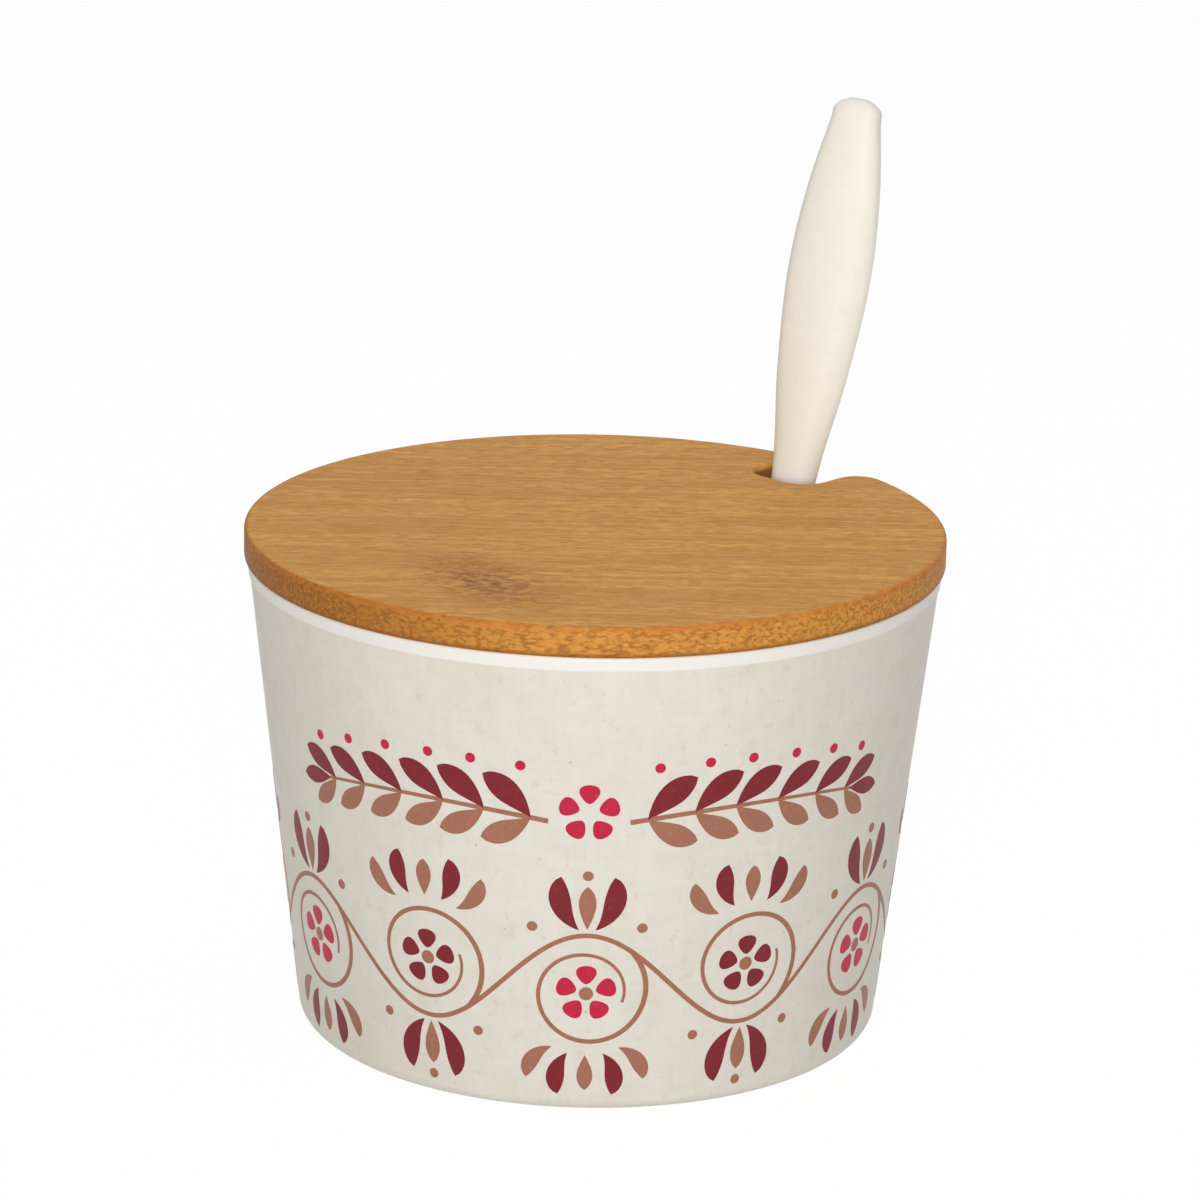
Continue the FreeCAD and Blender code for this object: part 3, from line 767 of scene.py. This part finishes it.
def wrap_on_wall(bm, bowl, border, radius):
    """Bend a flat print, drawn along and up from the front, round the bowl's wall."""
    for vert in bm.verts:
        reach, height = wall_point(bowl, vert.co.y, border.ink_proud)
        heading = FRONT + vert.co.x / radius
        vert.co = (reach * math.cos(heading), reach * math.sin(heading), height)


def whole(bm):
    return list(bm.verts) + list(bm.edges) + list(bm.faces)


def repeat_round(bm, count):
    """Copies of a print, so that count of them go round the bowl."""
    part = 2 * math.pi / count
    bmesh.ops.spin(bm, geom=whole(bm), cent=(0, 0, 0), axis=(0, 0, 1), dvec=(0, 0, 0),
                   angle=part * (count - 1), steps=count - 1, use_duplicate=True)


def lay_ink(name, bm, border, material):
    """Give a print its thickness, into the wall, and hand it over."""
    bmesh.ops.remove_doubles(bm, verts=bm.verts, dist=MERGE)
    bmesh.ops.dissolve_degenerate(bm, dist=MERGE, edges=bm.edges)
    bmesh.ops.solidify(bm, geom=list(bm.faces), thickness=border.ink_depth)
    finish_piece(name, bm, "bowl", material)


def draw_stroke(bm, path, widths, lanes=2):
    """Flat stroke: a grid bent along a path, as wide at each of its points as widths says."""
    grid = bmesh.ops.create_grid(bm, x_segments=lanes, y_segments=len(path) - 1, size=1.0)["verts"]
    for index, (here, width) in enumerate(zip(path, widths)):
        ahead = path[min(index + 1, len(path) - 1)] - path[max(index - 1, 0)]
        side = Vector((ahead.y, -ahead.x)).normalized()
        for vert in grid[index * (lanes + 1):(index + 1) * (lanes + 1)]:
            vert.co = (here + side * (vert.co.x * width / 2)).to_3d()


def arc_path(start, heading, reach, turn, steps):
    """Points of a stretch that leaves at a heading and turns evenly on its way."""
    points = [Vector(start)]
    for step in range(steps):
        way = heading + turn * (step + 0.5) / steps
        points.append(points[-1] + Vector((math.cos(way), math.sin(way))) * (reach / steps))
    return points


# Steps and lanes of a leaf, petal or dot, and how late a leaf is fullest and how bluntly it ends.
LEAF_STEPS = 14
LEAF_LANES = 4
LEAF_LATE = 1.35
LEAF_BLUNT = 0.7


def draw_leaf(bm, start, heading, reach, width, turn):
    """Leaf with a fine foot, fullest past its middle."""
    path = arc_path(start, heading, reach, turn, LEAF_STEPS)
    shares = [step / LEAF_STEPS for step in range(LEAF_STEPS)]
    widths = [width * math.sin(math.pi * share ** LEAF_LATE) ** LEAF_BLUNT for share in shares]
    draw_stroke(bm, path, widths + [0.0], LEAF_LANES)


def draw_line(bm, path, line, shares):
    """Line that runs out to a fine end, with both its widths as shares of a line's."""
    width, fine = (line * share for share in shares)
    last = len(path) - 1
    draw_stroke(bm, path, [width + (fine - width) * index / last for index in range(last + 1)])


def draw_dot(bm, middle, radius):
    turns = [math.pi * step / LEAF_STEPS for step in range(LEAF_STEPS + 1)]
    path = [Vector(middle) + Vector((0.0, -radius * math.cos(turn))) for turn in turns]
    widths = [2 * radius * math.sin(turn) for turn in turns[1:-1]]
    draw_stroke(bm, path, [0.0] + widths + [0.0], LEAF_LANES)


# Coil in each half wave: its middle from the vine's, its radii, and where, how far and how fast it winds.
COIL_DROP = 0.0016
COIL_OUTER = 0.0098
COIL_INNER = 0.0057
COIL_START = math.radians(45.0)
COIL_SWEEP = math.radians(420.0)
COIL_EASE = 0.8
# Widths of a coil and of a sprig's stem, at the start and the fine end, as shares of the vine's line.
COIL_LINE = (1.15, 0.6)
SPRIG_LINE = (1.1, 0.6)
# Steps along a wave of the stem, and along a coil.
STEM_STEPS = 72
# Blossom in a coil: reach of its petals, where they start as a share of it, their width, how much slimmer
# they start, and their number.
BLOSSOM_RADIUS = 0.0047
PETAL_START = 0.34
PETAL_WIDTH = 0.0041
PETAL_SLIM = 0.28
PETALS = 5
PETAL_STEPS = 12
# Crest and trough: place along the wave, and which way up. A trough has a crest's leaves, turned over.
CREST = (0.0, 1.0)
TROUGH = (0.5, -1.0)
HALF_WAVES = (CREST, TROUGH)
# Leaves of a half wave, by the coil's middle or the stem's crest: place across and up, heading in degrees,
# length, width and turn in degrees. All but the middle ones are one of a mirrored pair.
COIL_LEAF = (0.0028, -0.0102, -46.0, 0.0076, 0.0029, -64.0)
COIL_BACK_LEAF = (0.0052, -0.0092, -16.0, 0.0074, 0.0025, -74.0)
COIL_MIDDLE_LEAF = (0.0, -0.0105, -90.0, 0.0060, 0.0025, 0.0)
CREST_LEAF = (0.0012, 0.0009, 40.0, 0.0098, 0.0032, 66.0)
CREST_MIDDLE_LEAF = (0.0, 0.0010, 90.0, 0.0072, 0.0026, 0.0)
# Dots of a half wave: the blossom's eye, and the ones by the crest with their places across and up.
EYE_RADIUS = 0.0011
DOT_RADIUS = 0.0008
CREST_DOTS = ((0.0, 0.0100), (-0.0082, 0.0012), (0.0082, 0.0012))


def stem_height(along, border, wave):
    return border.swing * math.cos(2 * math.pi * along / wave)


def coil_middle(share, side, border, wave):
    """Middle of the coil under a crest, or over a trough where side is -1."""
    return Vector((share * wave, border.middle - side * COIL_DROP))


def stem_top(share, side, border, wave):
    """Top of a crest of the stem, or bottom of a trough."""
    return Vector((share * wave, border.middle + side * border.swing))


def coil_path(share, side, border, wave):
    """Spiral that leaves the stem and winds in towards a blossom."""
    middle = coil_middle(share, side, border, wave)
    points = []
    for step in range(STEM_STEPS + 1):
        part = step / STEM_STEPS
        radius = COIL_OUTER + (COIL_INNER - COIL_OUTER) * part ** COIL_EASE
        turn = COIL_START - COIL_SWEEP * part
        points.append(middle + Vector((radius * math.cos(turn), side * radius * math.sin(turn))))
    return points


def draw_vine_stem(bm, border, wave):
    along = [wave * (step / STEM_STEPS - 0.25) for step in range(STEM_STEPS + 1)]
    path = [Vector((u, border.middle + stem_height(u, border, wave))) for u in along]
    draw_stroke(bm, path, [border.line] * len(path))
    for share, side in HALF_WAVES:
        draw_line(bm, coil_path(share, side, border, wave), border.line, COIL_LINE)


def draw_by(bm, foot, side, leaf, hands=(-1, 1)):
    """Leaf by a foot, turned over where side is -1, once for each hand."""
    across, up, heading, reach, width, turn = leaf
    for hand in hands:
        way = heading if hand > 0 else 180.0 - heading
        draw_leaf(bm, foot + Vector((hand * across, side * up)), side * math.radians(way), reach, width,
                  side * hand * math.radians(turn))


def draw_vine_leaves(bm, border, wave):
    for half in HALF_WAVES:
        draw_by(bm, coil_middle(*half, border, wave), half[1], COIL_LEAF)
        draw_by(bm, stem_top(*half, border, wave), half[1], CREST_LEAF)


def draw_back_leaves(bm, border, wave):
    for half in HALF_WAVES:
        draw_by(bm, coil_middle(*half, border, wave), half[1], COIL_BACK_LEAF)
        draw_by(bm, coil_middle(*half, border, wave), half[1], COIL_MIDDLE_LEAF, [1])
        draw_by(bm, stem_top(*half, border, wave), half[1], CREST_MIDDLE_LEAF, [1])


def draw_vine_dots(bm, border, wave):
    for share, side in HALF_WAVES:
        draw_dot(bm, coil_middle(share, side, border, wave), EYE_RADIUS)
        for across, up in CREST_DOTS:
            draw_dot(bm, stem_top(share, side, border, wave) + Vector((across, side * up)), DOT_RADIUS)


def draw_crest_blossom(bm, border, wave):
    draw_blossom(bm, coil_middle(*CREST, border, wave))


def draw_trough_blossom(bm, border, wave):
    draw_blossom(bm, coil_middle(*TROUGH, border, wave))


def draw_blossom(bm, middle):
    """Open blossom of rounded petals, fullest past their middle, round a bare eye."""
    inner = BLOSSOM_RADIUS * PETAL_START
    half = (BLOSSOM_RADIUS - inner) / 2
    turns = [math.pi * step / PETAL_STEPS for step in range(PETAL_STEPS + 1)]
    slim = [1 - PETAL_SLIM * (1 + math.cos(turn)) for turn in turns[1:-1]]
    widths = [PETAL_WIDTH * math.sin(turn) * share for turn, share in zip(turns[1:-1], slim)]
    for petal in range(PETALS):
        heading = math.pi / 2 + 2 * math.pi * petal / PETALS
        ahead = Vector((math.cos(heading), math.sin(heading)))
        path = [middle + ahead * (inner + half * (1 - math.cos(turn))) for turn in turns]
        draw_stroke(bm, path, [0.0] + widths + [0.0], LEAF_LANES)


# Right sprig, of which the left one is the mirror: its foot from the blossom, its run, and its leaves.
SPRIG_START = 0.0062
SPRIG_DROP = 0.0015
SPRIG_REACH = 0.0400
SPRIG_HEADING = math.radians(9.0)
SPRIG_TURN = math.radians(-18.0)
SPRIG_STEPS = 60
SPRIG_LEAVES = 6
SPRIG_LEAF = (0.0100, 0.0040)
# Shares of the sprig where its first leaf sits and over which they spread, and how much they shrink.
SPRIG_FIRST = 0.07
SPRIG_SPREAD = 0.9
SPRIG_SHRINK = 0.035
# Angle between a leaf and the stem, its turn, and the size of the back leaves.
LEAF_ANGLE = math.radians(48.0)
LEAF_TURN = math.radians(28.0)
BACK_LEAF = 0.9
# Length and width of the leaf at the sprig's end, as shares of the others'.
END_LEAF = (0.75, 0.7)
# Berries stand off the stem over each pair of leaves.
BERRY_ANGLE = math.radians(72.0)
BERRY_REACH = 0.0086
BERRY_RADIUS = 0.0008


def sprig_path(border):
    start = (SPRIG_START, border.sprig_height - SPRIG_DROP)
    return arc_path(start, SPRIG_HEADING, SPRIG_REACH, SPRIG_TURN, SPRIG_STEPS)


def sprig_places(border):
    """Places along a sprig where its leaves sit, with the way the stem runs there and their size."""
    path = sprig_path(border)
    for leaf in range(SPRIG_LEAVES):
        share = SPRIG_FIRST + SPRIG_SPREAD * leaf / (SPRIG_LEAVES - 1)
        index = round(share * (len(path) - 2))
        ahead = path[index + 1] - path[index]
        yield path[index], math.atan2(ahead.y, ahead.x), 1.0 - SPRIG_SHRINK * leaf


def draw_sprig_stem(bm, border):
    draw_line(bm, sprig_path(border), border.line, SPRIG_LINE)


def draw_sprig_leaves(bm, border):
    reach, width = SPRIG_LEAF
    for foot, way, size in sprig_places(border):
        draw_leaf(bm, foot, way + LEAF_ANGLE, reach * size, width * size, -LEAF_TURN)
    reach, width = reach * END_LEAF[0], width * END_LEAF[1]
    draw_leaf(bm, sprig_path(border)[-2], SPRIG_HEADING + SPRIG_TURN, reach, width, turn=0.0)


def draw_sprig_back_leaves(bm, border):
    reach, width = (BACK_LEAF * value for value in SPRIG_LEAF)
    for foot, way, size in sprig_places(border):
        draw_leaf(bm, foot, way - LEAF_ANGLE, reach * size, width * size, LEAF_TURN)


def draw_sprig_berries(bm, border):
    for foot, way, size in sprig_places(border):
        ahead = way + BERRY_ANGLE
        draw_dot(bm, foot + Vector((math.cos(ahead), math.sin(ahead))) * BERRY_REACH * size, BERRY_RADIUS)


class HONEY_OT_stage(Operator):
    """Set the floor, the soft light and the camera"""
    bl_idname = "honey_dish.stage"
    bl_label = "Set stage"

    def execute(self, context):
        stage = context.scene.honey_stage
        context.scene.view_settings.view_transform = "Standard"
        add_floor(context, stage)
        add_surround(context, stage)
        add_softbox(context, "key_softbox", stage.key, size=0.5, heading=FRONT - math.radians(2.0),
                    away=0.92, height=0.36)
        add_softbox(context, "top_softbox", stage.top, size=0.8, heading=FRONT + math.radians(150.0),
                    away=0.25, height=0.95)
        add_camera(context, stage)
        return {"FINISHED"}


def seen_directly(tree):
    """One for rays from the camera and for what shows in gloss or glass."""
    path = add_node(tree, "ShaderNodeLightPath")
    seen = sums(tree, "MAXIMUM", path.outputs["Is Camera Ray"], path.outputs["Is Glossy Ray"])
    return sums(tree, "MAXIMUM", seen, path.outputs["Is Transmission Ray"])


# Half the floor's width, and how much of it shows plain white where it is seen directly.
FLOOR_HALF = 3.0
FLOOR_WHITE = 0.97
# Point that the lamps are aimed at.
LAMP_AIM = (0.0, 0.0, 0.05)


def add_floor(context, stage):
    """Pale floor that keeps a faint shadow."""
    bm = bmesh.new()
    bmesh.ops.create_grid(bm, x_segments=8, y_segments=8, size=FLOOR_HALF)
    mesh = bpy.data.meshes.new("floor")
    bm.to_mesh(mesh)
    bm.free()
    floor = bpy.data.objects.new("floor", mesh)
    context.scene.collection.objects.link(floor)
    material = bpy.data.materials.new("pale_floor")
    material.use_nodes = True
    tree = material.node_tree
    tree.nodes.clear()
    matt = add_node(tree, "ShaderNodeBsdfDiffuse", {"Color": (*stage.floor, 1.0)}).outputs[0]
    white = add_node(tree, "ShaderNodeEmission", {"Color": (1.0, 1.0, 1.0, 1.0)}).outputs[0]
    share = sums(tree, "MULTIPLY", seen_directly(tree), FLOOR_WHITE)
    surface = add_node(tree, "ShaderNodeMixShader", {0: share, 1: matt, 2: white}).outputs[0]
    add_node(tree, "ShaderNodeOutputMaterial", {"Surface": surface})
    mesh.materials.append(material)


def add_surround(context, stage):
    """White where it is seen directly, and a soft warm light elsewhere."""
    world = bpy.data.worlds.new("studio")
    context.scene.world = world
    world.use_nodes = True
    tree = world.node_tree
    tree.nodes.clear()
    seen = seen_directly(tree)
    tint = mixed(tree, seen, stage.ambient_colour, (1.0, 1.0, 1.0))
    strength = between(tree, seen, 0.0, 1.0, stage.ambient, 1.0)
    light = add_node(tree, "ShaderNodeBackground", {"Color": tint, "Strength": strength}).outputs[0]
    add_node(tree, "ShaderNodeOutputWorld", {"Surface": light})


def add_softbox(context, name, power, size, heading, away, height):
    """Square area light at a heading round the dish, aimed at its middle."""
    lamp = bpy.data.lights.new(name, "AREA")
    lamp.energy = power
    lamp.size = size
    softbox = bpy.data.objects.new(name, lamp)
    context.scene.collection.objects.link(softbox)
    softbox.location = (away * math.cos(heading), away * math.sin(heading), height)
    aim = Vector(LAMP_AIM) - softbox.location
    softbox.rotation_euler = aim.to_track_quat("-Z", "Y").to_euler()


def add_camera(context, stage):
    """Camera at the picture's angle, placed by the point that it looks at."""
    out = Vector((math.cos(FRONT), math.sin(FRONT), 0.0))
    right = Vector((-out.y, out.x, 0.0))
    back = out * math.cos(stage.elevation) + Vector((0.0, 0.0, math.sin(stage.elevation)))
    upright = back.cross(right)
    across = right * math.cos(stage.roll) + upright * math.sin(stage.roll)
    upward = back.cross(across)
    aim = right * stage.aim_side + Vector((0.0, 0.0, stage.aim_height))
    data = bpy.data.cameras.new("camera")
    data.lens = stage.lens
    data.sensor_width = 36.0
    camera = bpy.data.objects.new("camera", data)
    context.scene.collection.objects.link(camera)
    place = Matrix((across, upward, back)).transposed().to_4x4()
    place.translation = aim + back * stage.distance
    camera.matrix_world = place
    context.scene.camera = camera


class HONEY_PT_dish(Panel):
    """Sizes and colours of the honey dish, and the steps that make it"""
    bl_idname = "HONEY_PT_dish"
    bl_label = "Honey dish"
    bl_space_type = "VIEW_3D"
    bl_region_type = "UI"
    bl_category = "Honey dish"

    def draw(self, context):
        for name, (_, operator) in PARTS.items():
            box = self.layout.box()
            settings = getattr(context.scene, name)
            for field in settings.bl_rna.properties.keys():
                if field not in ("rna_type", "name"):
                    box.prop(settings, field)
            box.operator(operator.bl_idname)


# Settings and operator of each part of the scene, in the order in which they run.
PARTS = {
    "honey_bowl": (BowlSettings, HONEY_OT_bowl),
    "honey_lid": (LidSettings, HONEY_OT_lid),
    "honey_spoon": (SpoonSettings, HONEY_OT_spoon),
    "honey_border": (BorderSettings, HONEY_OT_border),
    "honey_stage": (StageSettings, HONEY_OT_stage),
}


def register():
    for name, (settings, operator) in PARTS.items():
        bpy.utils.register_class(settings)
        bpy.utils.register_class(operator)
        setattr(bpy.types.Scene, name, PointerProperty(type=settings))
    bpy.utils.register_class(HONEY_PT_dish)


def unregister():
    bpy.utils.unregister_class(HONEY_PT_dish)
    for name, (settings, operator) in reversed(PARTS.items()):
        delattr(bpy.types.Scene, name)
        bpy.utils.unregister_class(operator)
        bpy.utils.unregister_class(settings)


def main():
    register()
    bpy.ops.honey_dish.bowl()
    bpy.ops.honey_dish.lid()
    bpy.ops.honey_dish.spoon()
    bpy.ops.honey_dish.border()
    bpy.ops.honey_dish.stage()


if __name__ == "__main__":
    main()
